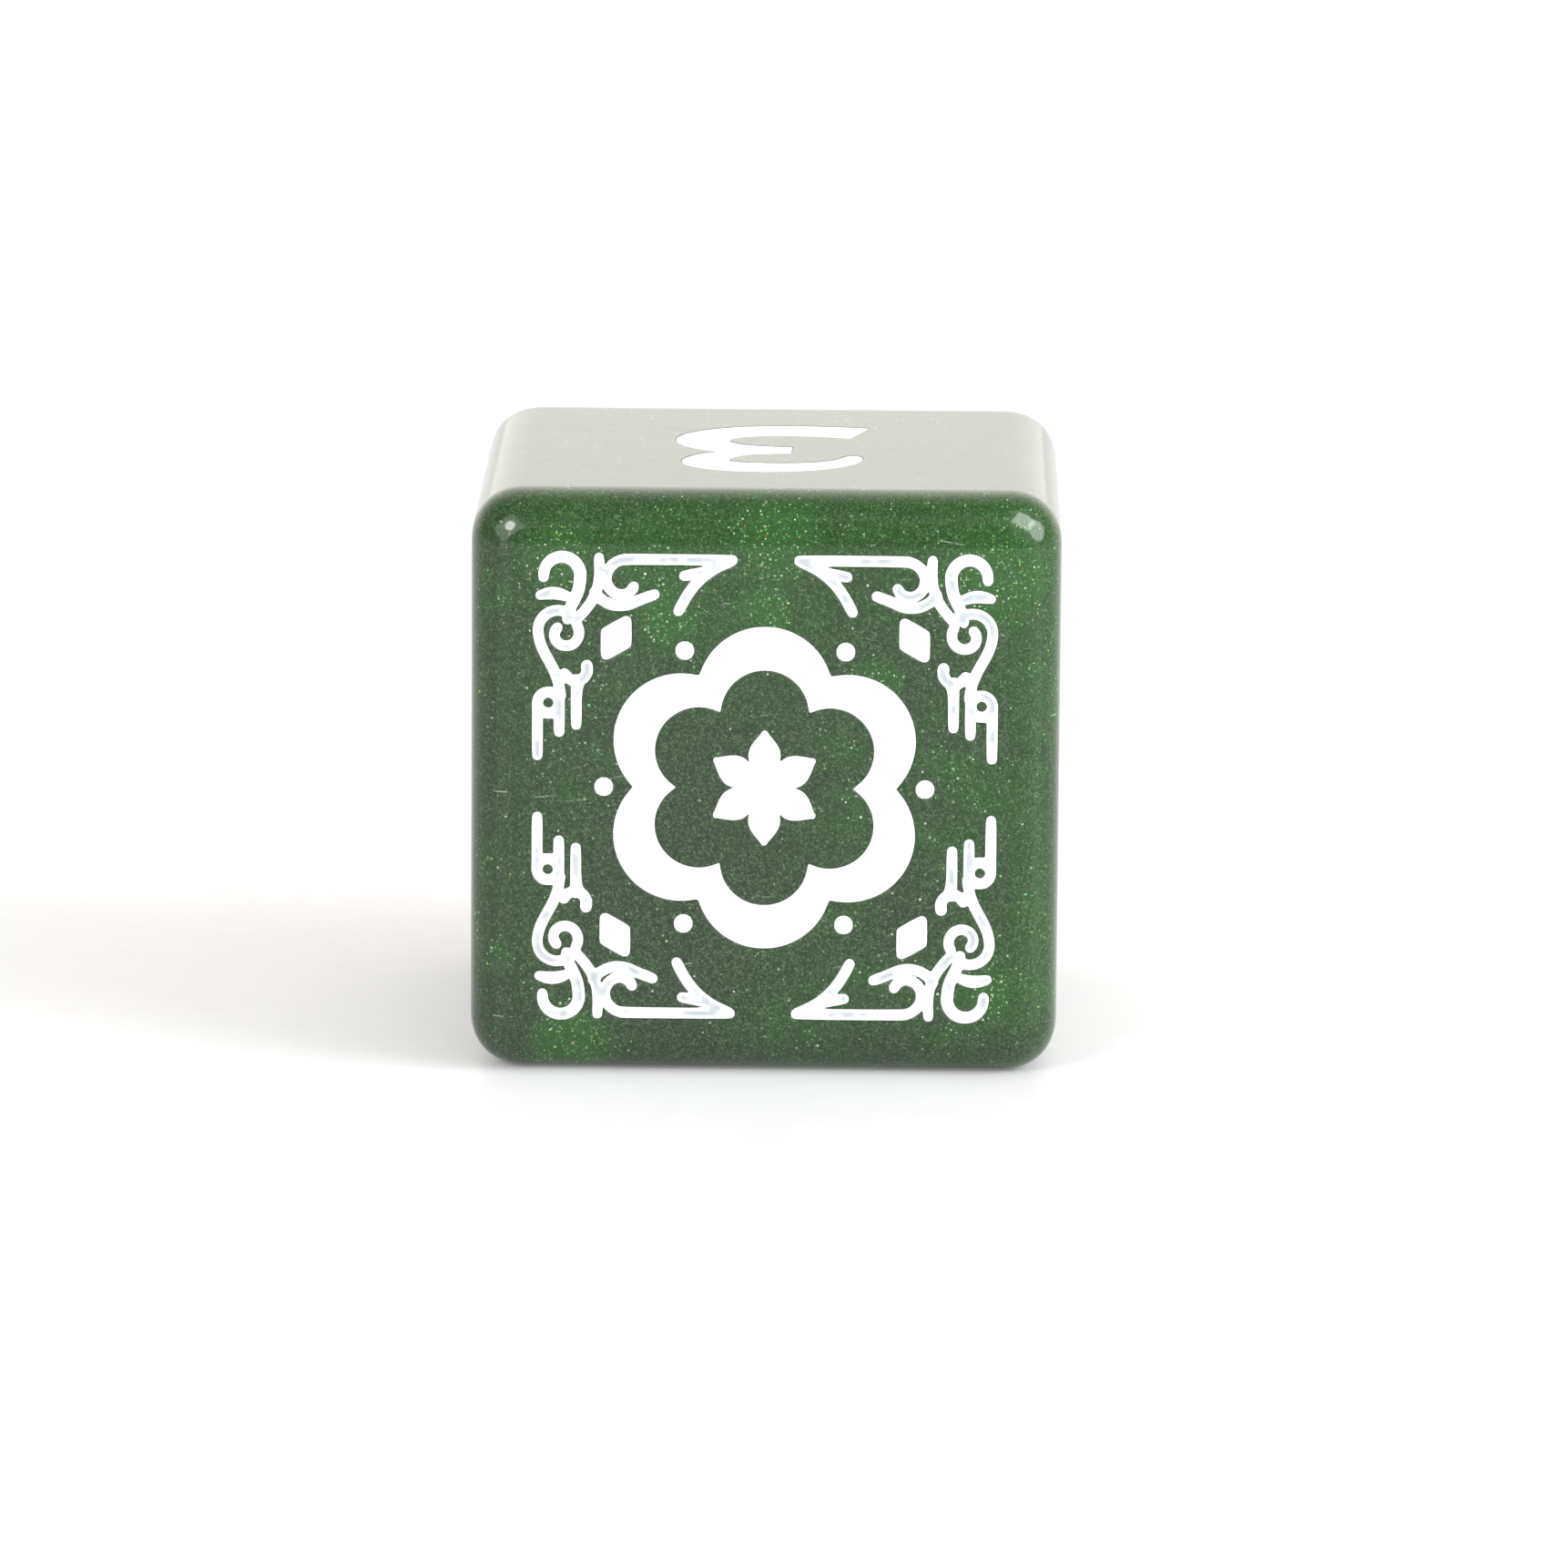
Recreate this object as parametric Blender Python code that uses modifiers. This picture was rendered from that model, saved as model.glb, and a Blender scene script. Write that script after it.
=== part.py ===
"""A six-sided gaming die: one casting of green resin with white paint lying in its engravings.

The die stands on its 4 with the 3 on top, and its ornament face looks towards -Y. The ornament
stands for the 6, so opposite faces add up to seven. Each engraved figure is a shallow pocket in
the resin, and the paint that fills the pocket is a piece of its own. Figures are drawn in
millimetres on the face they belong to: u to the right and v up, measured from the face's centre.
"""

import math

import bmesh
import bpy
from mathutils import Matrix, Vector
from mathutils.geometry import interpolate_bezier

MM = 0.001

# The casting.
EDGE = 16.0                # across two opposite faces
EDGE_RADIUS = 1.3          # tumbled edges and corners
EDGE_SEGMENTS = 5
POCKET_DEPTH = 0.35
PAINT_GAP = 0.02           # clearance between the paint and the pocket, at its walls and its floor
PAINT_SINK = 0.03          # how far the paint lies below the face
CUTTER_RISE = 0.5          # how far a pocket's cutter stands out of the face

# The ornament face.
LINE_RADIUS = 0.15         # half the width of a scroll's line
EYELET_PLACE = (5.86, 2.3)
EYELET_RADIUS = 0.3
LOZENGE_PLACE = (4.03, 4.1)
LOZENGE_CORNERS = ((0.27, 0.15), (-0.27, 0.46), (-0.27, -0.15), (0.27, -0.46))
LOZENGE_ROUND = 0.15
FOILS = 6                  # lobes, petals and pips: the ornament counts six
RING_FOIL_PLACE = 2.6      # distance of an outer lobe's centre from the ornament's centre
RING_FOIL_RADIUS = 1.85
RING_HOLE_PLACE = 2.05     # the same for the hole's lobes
RING_HOLE_RADIUS = 1.2
PETAL_START = 0.3
PETAL_END = 1.5
PETAL_TIP_RADIUS = 0.1
PETAL_RADIUS = 0.45
ROSETTE_HUB = 0.8
PIP_PLACE = 4.35
PIP_RADIUS = 0.27

# How finely round stretches are drawn.
ROUND_TOLERANCE = 0.012    # how far a chord may cut inside its arc
BEND_STEP = 0.38           # length of one chord of a free curve
PETAL_STEPS = 6

RESIN_GREEN = (0.055, 0.13, 0.05, 1.0)
PAINT_WHITE = (0.88, 0.89, 0.88, 1.0)


# ---------------------------------------------------------------- routes and outlines

def chords(radius, sweep):
    """How many chords draw an arc of this radius and sweep, in radians, within the tolerance."""
    return max(2, math.ceil(abs(sweep) / (2.0 * math.acos(1.0 - ROUND_TOLERANCE / radius))))


def arc(centre, radius, start, end, end_radius=None):
    """Points on an arc, or on a spiral that runs from radius to end_radius. Angles in degrees."""
    last = radius if end_radius is None else end_radius
    sweep = math.radians(end - start)
    steps = chords(max(radius, last), sweep)
    points = []
    for step in range(steps + 1):
        part = step / steps
        angle = math.radians(start) + sweep * part
        reach = radius + (last - radius) * part
        points.append(Vector((centre[0] + reach * math.cos(angle),
                              centre[1] + reach * math.sin(angle))))
    return points


def line(*corners):
    """A route of straight runs."""
    return [Vector(corner) for corner in corners]


def bend(start, start_handle, end_handle, end):
    """A route along one Bezier curve."""
    knots = [Vector((*point, 0.0)) for point in (start, start_handle, end_handle, end)]
    length = sum((there - here).length for here, there in zip(knots, knots[1:]))
    count = max(4, math.ceil(length / BEND_STEP) + 1)
    return [point.to_2d() for point in interpolate_bezier(*knots, count)]


def route(*stretches):
    """One route made of stretches that follow each other, without doubled points."""
    points = []
    for stretch in stretches:
        for point in stretch:
            if not points or (point - points[-1]).length > 1e-3:
                points.append(point)
    return points


def across(points, place):
    """The unit vector that crosses a route at one of its points, from right to left."""
    ahead = points[min(place + 1, len(points) - 1)]
    behind = points[max(place - 1, 0)]
    along = (ahead - behind).normalized()
    return Vector((-along.y, along.x))


def shares(points):
    """How far along a route each of its points lies, from 0 to 1."""
    lengths = [0.0]
    for here, there in zip(points, points[1:]):
        lengths.append(lengths[-1] + (there - here).length)
    return [length / lengths[-1] for length in lengths]


def ribbon(points, radius, grow=0.0, cut_end=False):
    """The outline of a stroke with round ends, or with a straight cut across its last end.

    The radius is one number or a function of the share of the route passed, and the outline is
    widened by grow all round.
    """
    if cut_end:
        points = points[:-1] + [points[-1] + (points[-1] - points[-2]).normalized() * grow]
    width = radius if callable(radius) else lambda share: radius
    radii = [width(share) + grow for share in shares(points)]
    places = range(len(points))
    left = [points[i] + across(points, i) * radii[i] for i in places]
    right = [points[i] - across(points, i) * radii[i] for i in places]
    end_cap = [] if cut_end else cap(points[-1], across(points, len(points) - 1), radii[-1])
    start_cap = cap(points[0], -across(points, 0), radii[0])
    return left + end_cap + right[::-1] + start_cap


def cap(centre, first_side, radius):
    """The points of a half circle between the two sides of a stroke's end."""
    start = math.atan2(first_side.y, first_side.x)
    steps = chords(radius, math.pi)
    angles = [start - math.pi * step / steps for step in range(1, steps)]
    return [centre + Vector((math.cos(a), math.sin(a))) * radius for a in angles]


def rounded(corners, radius):
    """The outline of a convex shape whose corners, given in clockwise order, are round."""
    points = []
    count = len(corners)
    for i, corner in enumerate(corners):
        before = Vector(corner) - Vector(corners[i - 1])
        after = Vector(corners[(i + 1) % count]) - Vector(corner)
        start = math.atan2(before.x, -before.y)
        turn = (math.atan2(after.x, -after.y) - start) % math.tau - math.tau
        steps = chords(radius, turn)
        for step in range(steps + 1):
            angle = start + turn * step / steps
            points.append(Vector(corner) + Vector((math.cos(angle), math.sin(angle))) * radius)
    return points


def foiled(place, radius):
    """The outline of six overlapping circles whose centres lie at place from the middle."""
    half = math.pi / FOILS
    notch = place * math.cos(half) + math.sqrt(radius ** 2 - (place * math.sin(half)) ** 2)
    reach = math.degrees(math.atan2(notch * math.sin(half), notch * math.cos(half) - place))
    points = []
    for foil in range(FOILS):
        angle = 90.0 + 360.0 * foil / FOILS
        centre = (place * math.cos(math.radians(angle)), place * math.sin(math.radians(angle)))
        points.extend(arc(centre, radius, angle - reach, angle + reach)[:-1])
    return points


def swell(least, most):
    """A stroke radius that grows from least at the ends to most halfway."""
    return lambda share: least + (most - least) * math.sin(math.pi * share)


def taper(start, end):
    """A stroke radius that changes evenly from start to end."""
    return lambda share: start + (end - start) * share


# ---------------------------------------------------------------- the figures

def scroll_strokes():
    """The strokes of the upper right corner scroll, as routes and radii."""
    w = LINE_RADIUS
    hook = route(arc((5.5, 5.82), 0.5, -8.0, 170.0), bend((5.0, 5.8), (4.98, 5.2), (5.3, 5.1), (5.35, 4.6)))
    leaf = arc((5.75, 4.42), 0.9, 68.0, 118.0)
    stem = route(bend((4.5, 6.3), (4.42, 5.5), (4.6, 5.1), (5.1, 4.6)),
                 arc((5.42, 4.2), 0.42, 140.0, 400.0, 0.26))
    shoulder = route(arc((5.6, 4.3), 0.55, 112.0, 0.0),
                     bend((6.15, 4.3), (6.12, 3.6), (5.6, 3.4), (5.52, 2.5)))
    curl = arc((5.12, 3.22), 0.32, -20.0, -200.0)
    return [
        (hook, swell(w, w * 1.15)),
        (leaf, swell(w * 0.9, w * 1.2)),
        (stem, taper(w * 0.95, w)),
        (shoulder, w),
        (curl, taper(w, w * 1.1)),
        (line((6.15, 2.3), (6.15, 0.85)), w),
        (line((5.56, 2.4), (5.56, 1.5)), w),
        (line((5.1, 2.95), (5.1, 1.7)), w),
        (route(arc((3.82, 5.66), 0.3, -150.0, 90.0, 0.6)[::-1]), w),
        (line((3.82, 6.26), (0.9, 6.26)), w),
        (route(bend((4.62, 5.35), (4.4, 5.0), (3.9, 4.8), (3.4, 5.15)), line((3.4, 5.15), (3.0, 5.3))), w),
        (line((2.2, 5.82), (1.5, 5.95)), w),
        (bend((0.92, 6.24), (1.7, 5.95), (2.05, 5.5), (2.35, 4.85)), w),
    ]


def digit_strokes(digit):
    """The strokes of a digit about 5.4 mm wide and 7.5 mm tall: a route, a radius and perhaps True.

    A stroke marked True is cut straight across its last end. All other ends are round.
    """
    if digit == 1:
        return [
            (bend((-1.35, 2.0), (-0.8, 2.3), (-0.2, 2.75), (0.2, 3.2)), taper(0.3, 0.5)),
            (line((0.2, 3.0), (0.2, -2.95)), 0.74),
            (line((-1.4, -3.33), (1.8, -3.33)), 0.42),
        ]
    if digit == 2:
        return [
            (route(bend((-2.05, 1.5), (-2.0, 2.6), (-1.1, 3.15), (-0.1, 3.15)),
                   bend((-0.1, 3.15), (1.1, 3.15), (1.75, 2.5), (1.65, 1.6)),
                   bend((1.65, 1.6), (1.55, 0.4), (-0.6, -1.0), (-1.75, -3.0))), swell(0.32, 0.82)),
            (line((-1.9, -3.2), (2.1, -3.2)), taper(0.52, 0.55)),
        ]
    if digit == 3:
        return [
            (route(bend((-2.3, 1.45), (-2.15, 2.5), (-1.3, 3.2), (0.1, 3.2)),
                   bend((0.1, 3.2), (1.2, 3.2), (1.85, 2.7), (1.75, 2.05)),
                   bend((1.75, 2.05), (1.65, 1.3), (1.1, 0.8), (0.2, 0.55))), swell(0.26, 0.74)),
            (line((0.75, 0.3), (-0.6, 0.35)), taper(0.75, 0.5), True),
            (route(bend((0.3, 0.35), (1.2, 0.2), (1.95, -0.5), (1.9, -1.35)),
                   bend((1.9, -1.35), (1.8, -2.4), (0.6, -2.95), (-0.4, -2.93)),
                   bend((-0.4, -2.93), (-1.1, -2.9), (-1.7, -2.85), (-2.45, -2.6))), taper(0.68, 0.9), True),
        ]
    if digit == 4:
        return [
            (line((0.95, 3.2), (-2.1, -1.0)), taper(0.45, 0.5)),
            (line((-2.1, -1.3), (2.2, -1.3)), 0.5),
            (line((1.0, 3.0), (1.0, -3.05)), 0.7),
        ]
    return [
        (line((-1.2, 3.2), (1.85, 3.2)), 0.55),
        (line((-1.2, 3.1), (-1.5, 0.55)), taper(0.5, 0.42)),
        (route(bend((-1.5, 0.6), (-0.2, 1.1), (1.75, 0.9), (1.8, -1.0)),
               bend((1.8, -1.0), (1.85, -2.6), (0.2, -3.2), (-0.7, -3.1)),
               bend((-0.7, -3.1), (-1.3, -3.05), (-1.8, -2.9), (-2.1, -2.6))), swell(0.4, 0.84)),
    ]


def mirrored(points, side, height):
    """A route moved into another quadrant of the face."""
    return [Vector((point.x * side, point.y * height)) for point in points]


def eyelet(centre, radius, grow):
    """The two outlines of a closed round line."""
    wide, narrow = radius + LINE_RADIUS + grow, radius - LINE_RADIUS - grow
    return [arc(centre, wide, 0.0, 360.0)[:-1], arc(centre, narrow, 0.0, 360.0)[:-1]]


def scroll_outlines(side, height):
    """Outlines of one corner scroll, as a function of how much they are widened."""
    ring_place = (EYELET_PLACE[0] * side, EYELET_PLACE[1] * height)
    return lambda grow: [eyelet(ring_place, EYELET_RADIUS, grow)] + [
        [ribbon(mirrored(points, side, height), radius, grow)] for points, radius in scroll_strokes()
    ]


def digit_outlines(digit):
    """Outlines of one digit, as a function of how much they are widened."""
    return lambda grow: [
        [ribbon(points, radius, grow, *cut)] for points, radius, *cut in digit_strokes(digit)
    ]


def lozenge_outlines(side, height):
    """Outline of one lozenge, leaning with its corner of the face."""
    place = Vector(LOZENGE_PLACE)
    corners = [place + Vector(corner) for corner in LOZENGE_CORNERS]
    turned = mirrored(corners, side, height)
    clockwise = turned[::-1] if side * height > 0 else turned
    return lambda grow: [[rounded(clockwise, LOZENGE_ROUND + grow)]]


def ring_outlines(grow):
    """The six-lobed band: an outer outline with a hole."""
    outer = foiled(RING_FOIL_PLACE, RING_FOIL_RADIUS + grow)
    hole = foiled(RING_HOLE_PLACE, RING_HOLE_RADIUS - grow)
    return [[outer, hole]]


def rosette_outlines(grow):
    """Six petals that meet in a round hub."""
    shapes = [[arc((0.0, 0.0), ROSETTE_HUB + grow, 0.0, 360.0)[:-1]]]
    for petal in range(FOILS):
        angle = math.radians(90.0 + 360.0 * petal / FOILS)
        along = Vector((math.cos(angle), math.sin(angle)))
        places = [PETAL_START + (PETAL_END - PETAL_START) * step / PETAL_STEPS
                  for step in range(PETAL_STEPS + 1)]
        petal_route = [along * place for place in places]
        shapes.append([ribbon(petal_route, swell(PETAL_TIP_RADIUS, PETAL_RADIUS), grow)])
    return shapes


def pip_outlines(pip):
    """One of the six round pips that stand between the ring's lobes."""
    angle = math.radians(360.0 * pip / FOILS)
    centre = (PIP_PLACE * math.cos(angle), PIP_PLACE * math.sin(angle))
    return lambda grow: [[arc(centre, PIP_RADIUS + grow, 0.0, 360.0)[:-1]]]


# ---------------------------------------------------------------- solids

def new_collection(name):
    collection = bpy.data.collections.new(name)
    bpy.context.scene.collection.children.link(collection)
    return collection


def new_material(name, colour, roughness):
    material = bpy.data.materials.new(name)
    material.use_nodes = True
    shader = material.node_tree.nodes["Principled BSDF"]
    shader.inputs["Base Color"].default_value = colour
    shader.inputs["Roughness"].default_value = roughness
    shader.inputs["Metallic"].default_value = 0.0
    material.diffuse_color = colour
    return material


def evaluated_mesh(source):
    """A new mesh holding what an object looks like with its modifiers."""
    bpy.context.view_layer.update()
    seen = source.evaluated_get(bpy.context.evaluated_depsgraph_get())
    return bpy.data.meshes.new_from_object(seen)


def prism(name, outlines, low, high):
    """A flat plate with the given outlines, from height low to height high, as a mesh object."""
    curve = bpy.data.curves.new(name, "CURVE")
    curve.dimensions = "2D"
    curve.fill_mode = "BOTH"
    curve.extrude = (high - low) / 2.0 * MM
    for outline in outlines:
        spline = curve.splines.new("POLY")
        spline.points.add(len(outline) - 1)
        for point, place in zip(spline.points, outline):
            point.co = (place.x * MM, place.y * MM, 0.0, 1.0)
        spline.use_cyclic_u = True
    drawn = bpy.data.objects.new(name, curve)
    bpy.context.scene.collection.objects.link(drawn)
    mesh = evaluated_mesh(drawn)
    bpy.data.objects.remove(drawn)
    bpy.data.curves.remove(curve)
    weld = bmesh.new()
    weld.from_mesh(mesh)
    bmesh.ops.remove_doubles(weld, verts=weld.verts, dist=1e-7)
    bmesh.ops.recalc_face_normals(weld, faces=weld.faces)
    bmesh.ops.translate(weld, verts=weld.verts, vec=(0.0, 0.0, (low + high) / 2.0 * MM))
    weld.to_mesh(mesh)
    weld.free()
    solid = bpy.data.objects.new(name, mesh)
    bpy.context.scene.collection.objects.link(solid)
    return solid


def fused(name, shapes, low, high):
    """One solid made of overlapping plates, each given by its outlines."""
    plates = [prism(f"{name}_{i}", outlines, low, high) for i, outlines in enumerate(shapes)]
    first, others = plates[0], plates[1:]
    for other in others:
        union = first.modifiers.new(other.name, "BOOLEAN")
        union.operation = "UNION"
        union.solver = "EXACT"
        union.object = other
    mesh = evaluated_mesh(first)
    for plate in plates:
        bpy.data.objects.remove(plate)
    flatten = bmesh.new()
    flatten.from_mesh(mesh)
    bmesh.ops.dissolve_limit(flatten, angle_limit=math.radians(0.05),
                             verts=flatten.verts, edges=flatten.edges)
    flatten.to_mesh(mesh)
    flatten.free()
    mesh.name = name
    solid = bpy.data.objects.new(name, mesh)
    return solid


def face_frame(right, up):
    """The matrix that lays a drawing on a face, with the outside of the die above it."""
    outward = right.cross(up)
    centre = Vector((0.0, 0.0, EDGE / 2.0)) + outward * (EDGE / 2.0)
    turn = Matrix((right, up, outward)).transposed().to_4x4()
    return Matrix.Translation(centre * MM) @ turn


X, Y, Z = Vector((1.0, 0.0, 0.0)), Vector((0.0, 1.0, 0.0)), Vector((0.0, 0.0, 1.0))

FACES = {
    "front": face_frame(X, Z),
    "back": face_frame(-X, Z),
    "right": face_frame(Y, Z),
    "left": face_frame(-Y, Z),
    "top": face_frame(-X, -Y),
    "bottom": face_frame(-X, Y),
}

DIGIT_FACES = {1: "back", 2: "left", 3: "top", 4: "bottom", 5: "right"}
CORNERS = {"upper_right": (1, 1), "upper_left": (-1, 1), "lower_left": (-1, -1), "lower_right": (1, -1)}


def figures():
    """Every engraved figure: its name, its face and its outlines."""
    listed = [(f"numeral_{digit}_fill", face, digit_outlines(digit)) for digit, face in DIGIT_FACES.items()]
    for corner, (side, height) in CORNERS.items():
        listed.append((f"scroll_fill_{corner}", "front", scroll_outlines(side, height)))
        listed.append((f"lozenge_fill_{corner}", "front", lozenge_outlines(side, height)))
    listed.append(("lobed_ring_fill", "front", ring_outlines))
    listed.append(("rosette_fill", "front", rosette_outlines))
    listed.extend((f"pip_fill_{pip + 1}", "front", pip_outlines(pip)) for pip in range(FOILS))
    return listed


def add_figure(name, face, outlines, parts, cutters):
    """The paint fill of one figure, and the cutter for its pocket."""
    fill = fused(name, outlines(0.0), PAINT_GAP - POCKET_DEPTH, -PAINT_SINK)
    fill.matrix_world = FACES[face]
    fill.data.materials.append(new_material(f"{name}_paint", PAINT_WHITE, 0.45))
    parts.objects.link(fill)
    cutter = fused(f"{name}_cutter", outlines(PAINT_GAP), -POCKET_DEPTH, CUTTER_RISE)
    cutter.matrix_world = FACES[face]
    cutter.hide_render = True
    cutter.display_type = "WIRE"
    cutters.objects.link(cutter)


def add_body(parts, cutters):
    """The casting: a cube with round edges and a pocket for every figure."""
    bpy.ops.mesh.primitive_cube_add(size=EDGE * MM, location=(0.0, 0.0, EDGE / 2.0 * MM))
    body = bpy.context.object
    body.name = body.data.name = "die_body"
    for collection in body.users_collection:
        collection.objects.unlink(body)
    parts.objects.link(body)
    edges = body.modifiers.new("round_edges", "BEVEL")
    edges.width = EDGE_RADIUS * MM
    edges.segments = EDGE_SEGMENTS
    edges.limit_method = "NONE"
    pockets = body.modifiers.new("pockets", "BOOLEAN")
    pockets.operation = "DIFFERENCE"
    pockets.solver = "EXACT"
    pockets.operand_type = "COLLECTION"
    pockets.collection = cutters
    body.data.materials.append(new_material("die_body_resin", RESIN_GREEN, 0.12))


def main():
    for old in list(bpy.data.objects):
        bpy.data.objects.remove(old)
    parts = new_collection("polyhedral_die")
    cutters = new_collection("pocket_cutters")
    for name, face, outlines in figures():
        add_figure(name, face, outlines, parts, cutters)
    add_body(parts, cutters)


main()
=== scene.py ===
"""Looks of a green glitter-resin gaming die whose engravings are filled with white paint.

The frame holds the plain casting and a flat fill for every engraved figure. Here each figure's
outline is read from its fill in the frame, and a finer casting is made with softened pocket lips,
with a finer fill of slightly sunken paint in each pocket. Lengths in this file are millimetres
until they are written to a mesh.
"""

import math
import random

import bmesh
import bpy
import numpy as np
from mathutils import Matrix, Vector, kdtree
from mathutils.geometry import delaunay_2d_cdt


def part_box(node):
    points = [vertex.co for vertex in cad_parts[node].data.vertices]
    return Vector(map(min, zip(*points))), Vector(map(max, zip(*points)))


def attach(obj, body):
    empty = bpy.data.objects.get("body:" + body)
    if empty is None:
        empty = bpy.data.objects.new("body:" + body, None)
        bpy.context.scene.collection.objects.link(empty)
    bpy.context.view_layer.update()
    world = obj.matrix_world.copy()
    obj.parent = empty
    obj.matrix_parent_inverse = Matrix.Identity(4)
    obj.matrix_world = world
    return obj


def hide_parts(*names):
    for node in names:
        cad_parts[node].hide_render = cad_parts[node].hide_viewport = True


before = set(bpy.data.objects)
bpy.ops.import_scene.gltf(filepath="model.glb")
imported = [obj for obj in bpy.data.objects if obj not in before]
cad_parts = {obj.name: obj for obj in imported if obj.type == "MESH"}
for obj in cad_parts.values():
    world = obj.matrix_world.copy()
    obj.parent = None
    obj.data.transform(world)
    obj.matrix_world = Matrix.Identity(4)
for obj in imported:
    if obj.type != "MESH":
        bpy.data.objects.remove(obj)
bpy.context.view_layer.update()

MM = 0.001
BODY_NODE = "die_body"
FILL_NODES = sorted(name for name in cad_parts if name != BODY_NODE)
EDGE = round((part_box(BODY_NODE)[1][2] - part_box(BODY_NODE)[0][2]) / MM, 4)
HALF = EDGE / 2.0

# The edges blend into the flat faces: they bend like a superellipse, not like a circle.
BLEND = 1.54               # how far in from the cube's sides the bend begins
BLEND_POWER = 2.3          # the power of a circle would be 2
FLAT = 6.72                # half the width of the middle of a face, which holds its figures

# Figures are redrawn on a grid of signed distances from their outlines.
GRID_STEP = 0.04
GRID_MARGIN = 0.12
FAR = 1.0                  # the distance given for any point off the grid
RIM_STEP = 0.01            # spacing of the outline points that distances are measured to
CUT_LIMITS = (0.06, 0.94)  # how near to the ends of a grid square's side a contour may cross it
SHARP_TURN = math.radians(60.0)
SMOOTHINGS = 3

# Distance outside a figure's outline, and height of the resin there.
POCKET_PROFILE = ((0.055, 0.0), (0.038, 0.0), (0.023, -0.004), (0.015, -0.016), (0.009, -0.31))
POCKET_MARGIN = 0.03       # how far the face's own points keep from a pocket's lip
# The same for the paint: distance inside the outline is negative.
PAINT_PROFILE = ((0.0, -0.012), (-0.018, -0.005), (-0.05, -0.005), (-0.1, -0.010))
PAINT_MARGIN = 0.08        # how far the scattered points keep from the last line of that profile
PAINT_FLOOR = -0.29
PAINT_BED = -0.013         # height of a broad figure's paint
PAINT_WAVE = 0.003         # how uneven that paint is
SCATTER_STEP = 0.3         # spacing of the points scattered over it
SCATTER_SHIFT = 0.08

# Across a face: lines of points inside that middle, and turns round the edge beyond it.
FLAT_LINES = np.concatenate(([-6.64, -6.54, -6.42], np.linspace(-6.28, 6.28, 29), [6.42, 6.54, 6.64]))
EDGE_STEPS = 9
WELD = 1e-7                # metres between points that are one point


# ---------------------------------------------------------------- outlines from the frame

def face_axes(low, high):
    """The face that a thin fill lies on: its right, up and outward directions and its centre."""
    middle = (low + high) / 2.0 / MM - Vector((0.0, 0.0, HALF))
    axis = max(range(3), key=lambda i: abs(middle[i]))
    outward = Vector((0.0, 0.0, 0.0))
    outward[axis] = math.copysign(1.0, middle[axis])
    up = Vector((0.0, 0.0, 1.0)) if axis != 2 else Vector((0.0, 1.0, 0.0))
    centre = Vector((0.0, 0.0, HALF)) + outward * HALF
    return up.cross(outward), up, outward, centre


def face_key(axes):
    """A face's outward direction as plain numbers, which can name it in a table."""
    return tuple(round(value) for value in axes[2])


def top_loops(node, axes):
    """The outlines of a fill's upper surface, as closed loops on its face."""
    right, up, outward, centre = axes
    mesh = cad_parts[node].data
    points = [Vector(vertex.co) / MM - centre for vertex in mesh.vertices]
    top = max(point.dot(outward) for point in points)
    flat = [(round(point.dot(right), 4), round(point.dot(up), 4)) for point in points]
    uses = {}
    for polygon in mesh.polygons:
        if all(abs(points[i].dot(outward) - top) < 0.01 for i in polygon.vertices):
            for a, b in polygon.edge_keys:
                pair = tuple(sorted((flat[a], flat[b])))
                uses[pair] = uses.get(pair, 0) + 1
    rim = {}
    for (a, b), count in uses.items():
        if count == 1:
            rim.setdefault(a, []).append(b)
            rim.setdefault(b, []).append(a)
    return chained(rim)


def chained(neighbours):
    """Closed loops from a map of each point to its two neighbours."""
    loops, seen = [], set()
    for start in neighbours:
        if start in seen:
            continue
        loop, here, last = [], start, None
        while here not in seen:
            seen.add(here)
            loop.append(here)
            onward = [p for p in neighbours[here] if p != last and p not in seen]
            if not onward:
                break
            here, last = onward[0], here
        if len(loop) > 2:
            loops.append(np.array(loop))
    return loops


def smoothed(loop):
    """A loop with its facets cut to a smooth line, and its sharp corners kept."""
    for _ in range(SMOOTHINGS):
        before = loop - np.roll(loop, 1, axis=0)
        after = np.roll(loop, -1, axis=0) - loop
        turn = np.abs(np.arctan2(before[:, 0] * after[:, 1] - before[:, 1] * after[:, 0],
                                 (before * after).sum(axis=1)))
        points = []
        for i, point in enumerate(loop):
            if turn[i] > SHARP_TURN:
                points.append(point)
            else:
                points.append(point - before[i] * 0.25)
                points.append(point + after[i] * 0.25)
        loop = np.array(points)
    return loop


# ---------------------------------------------------------------- signed distances and contours

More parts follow.
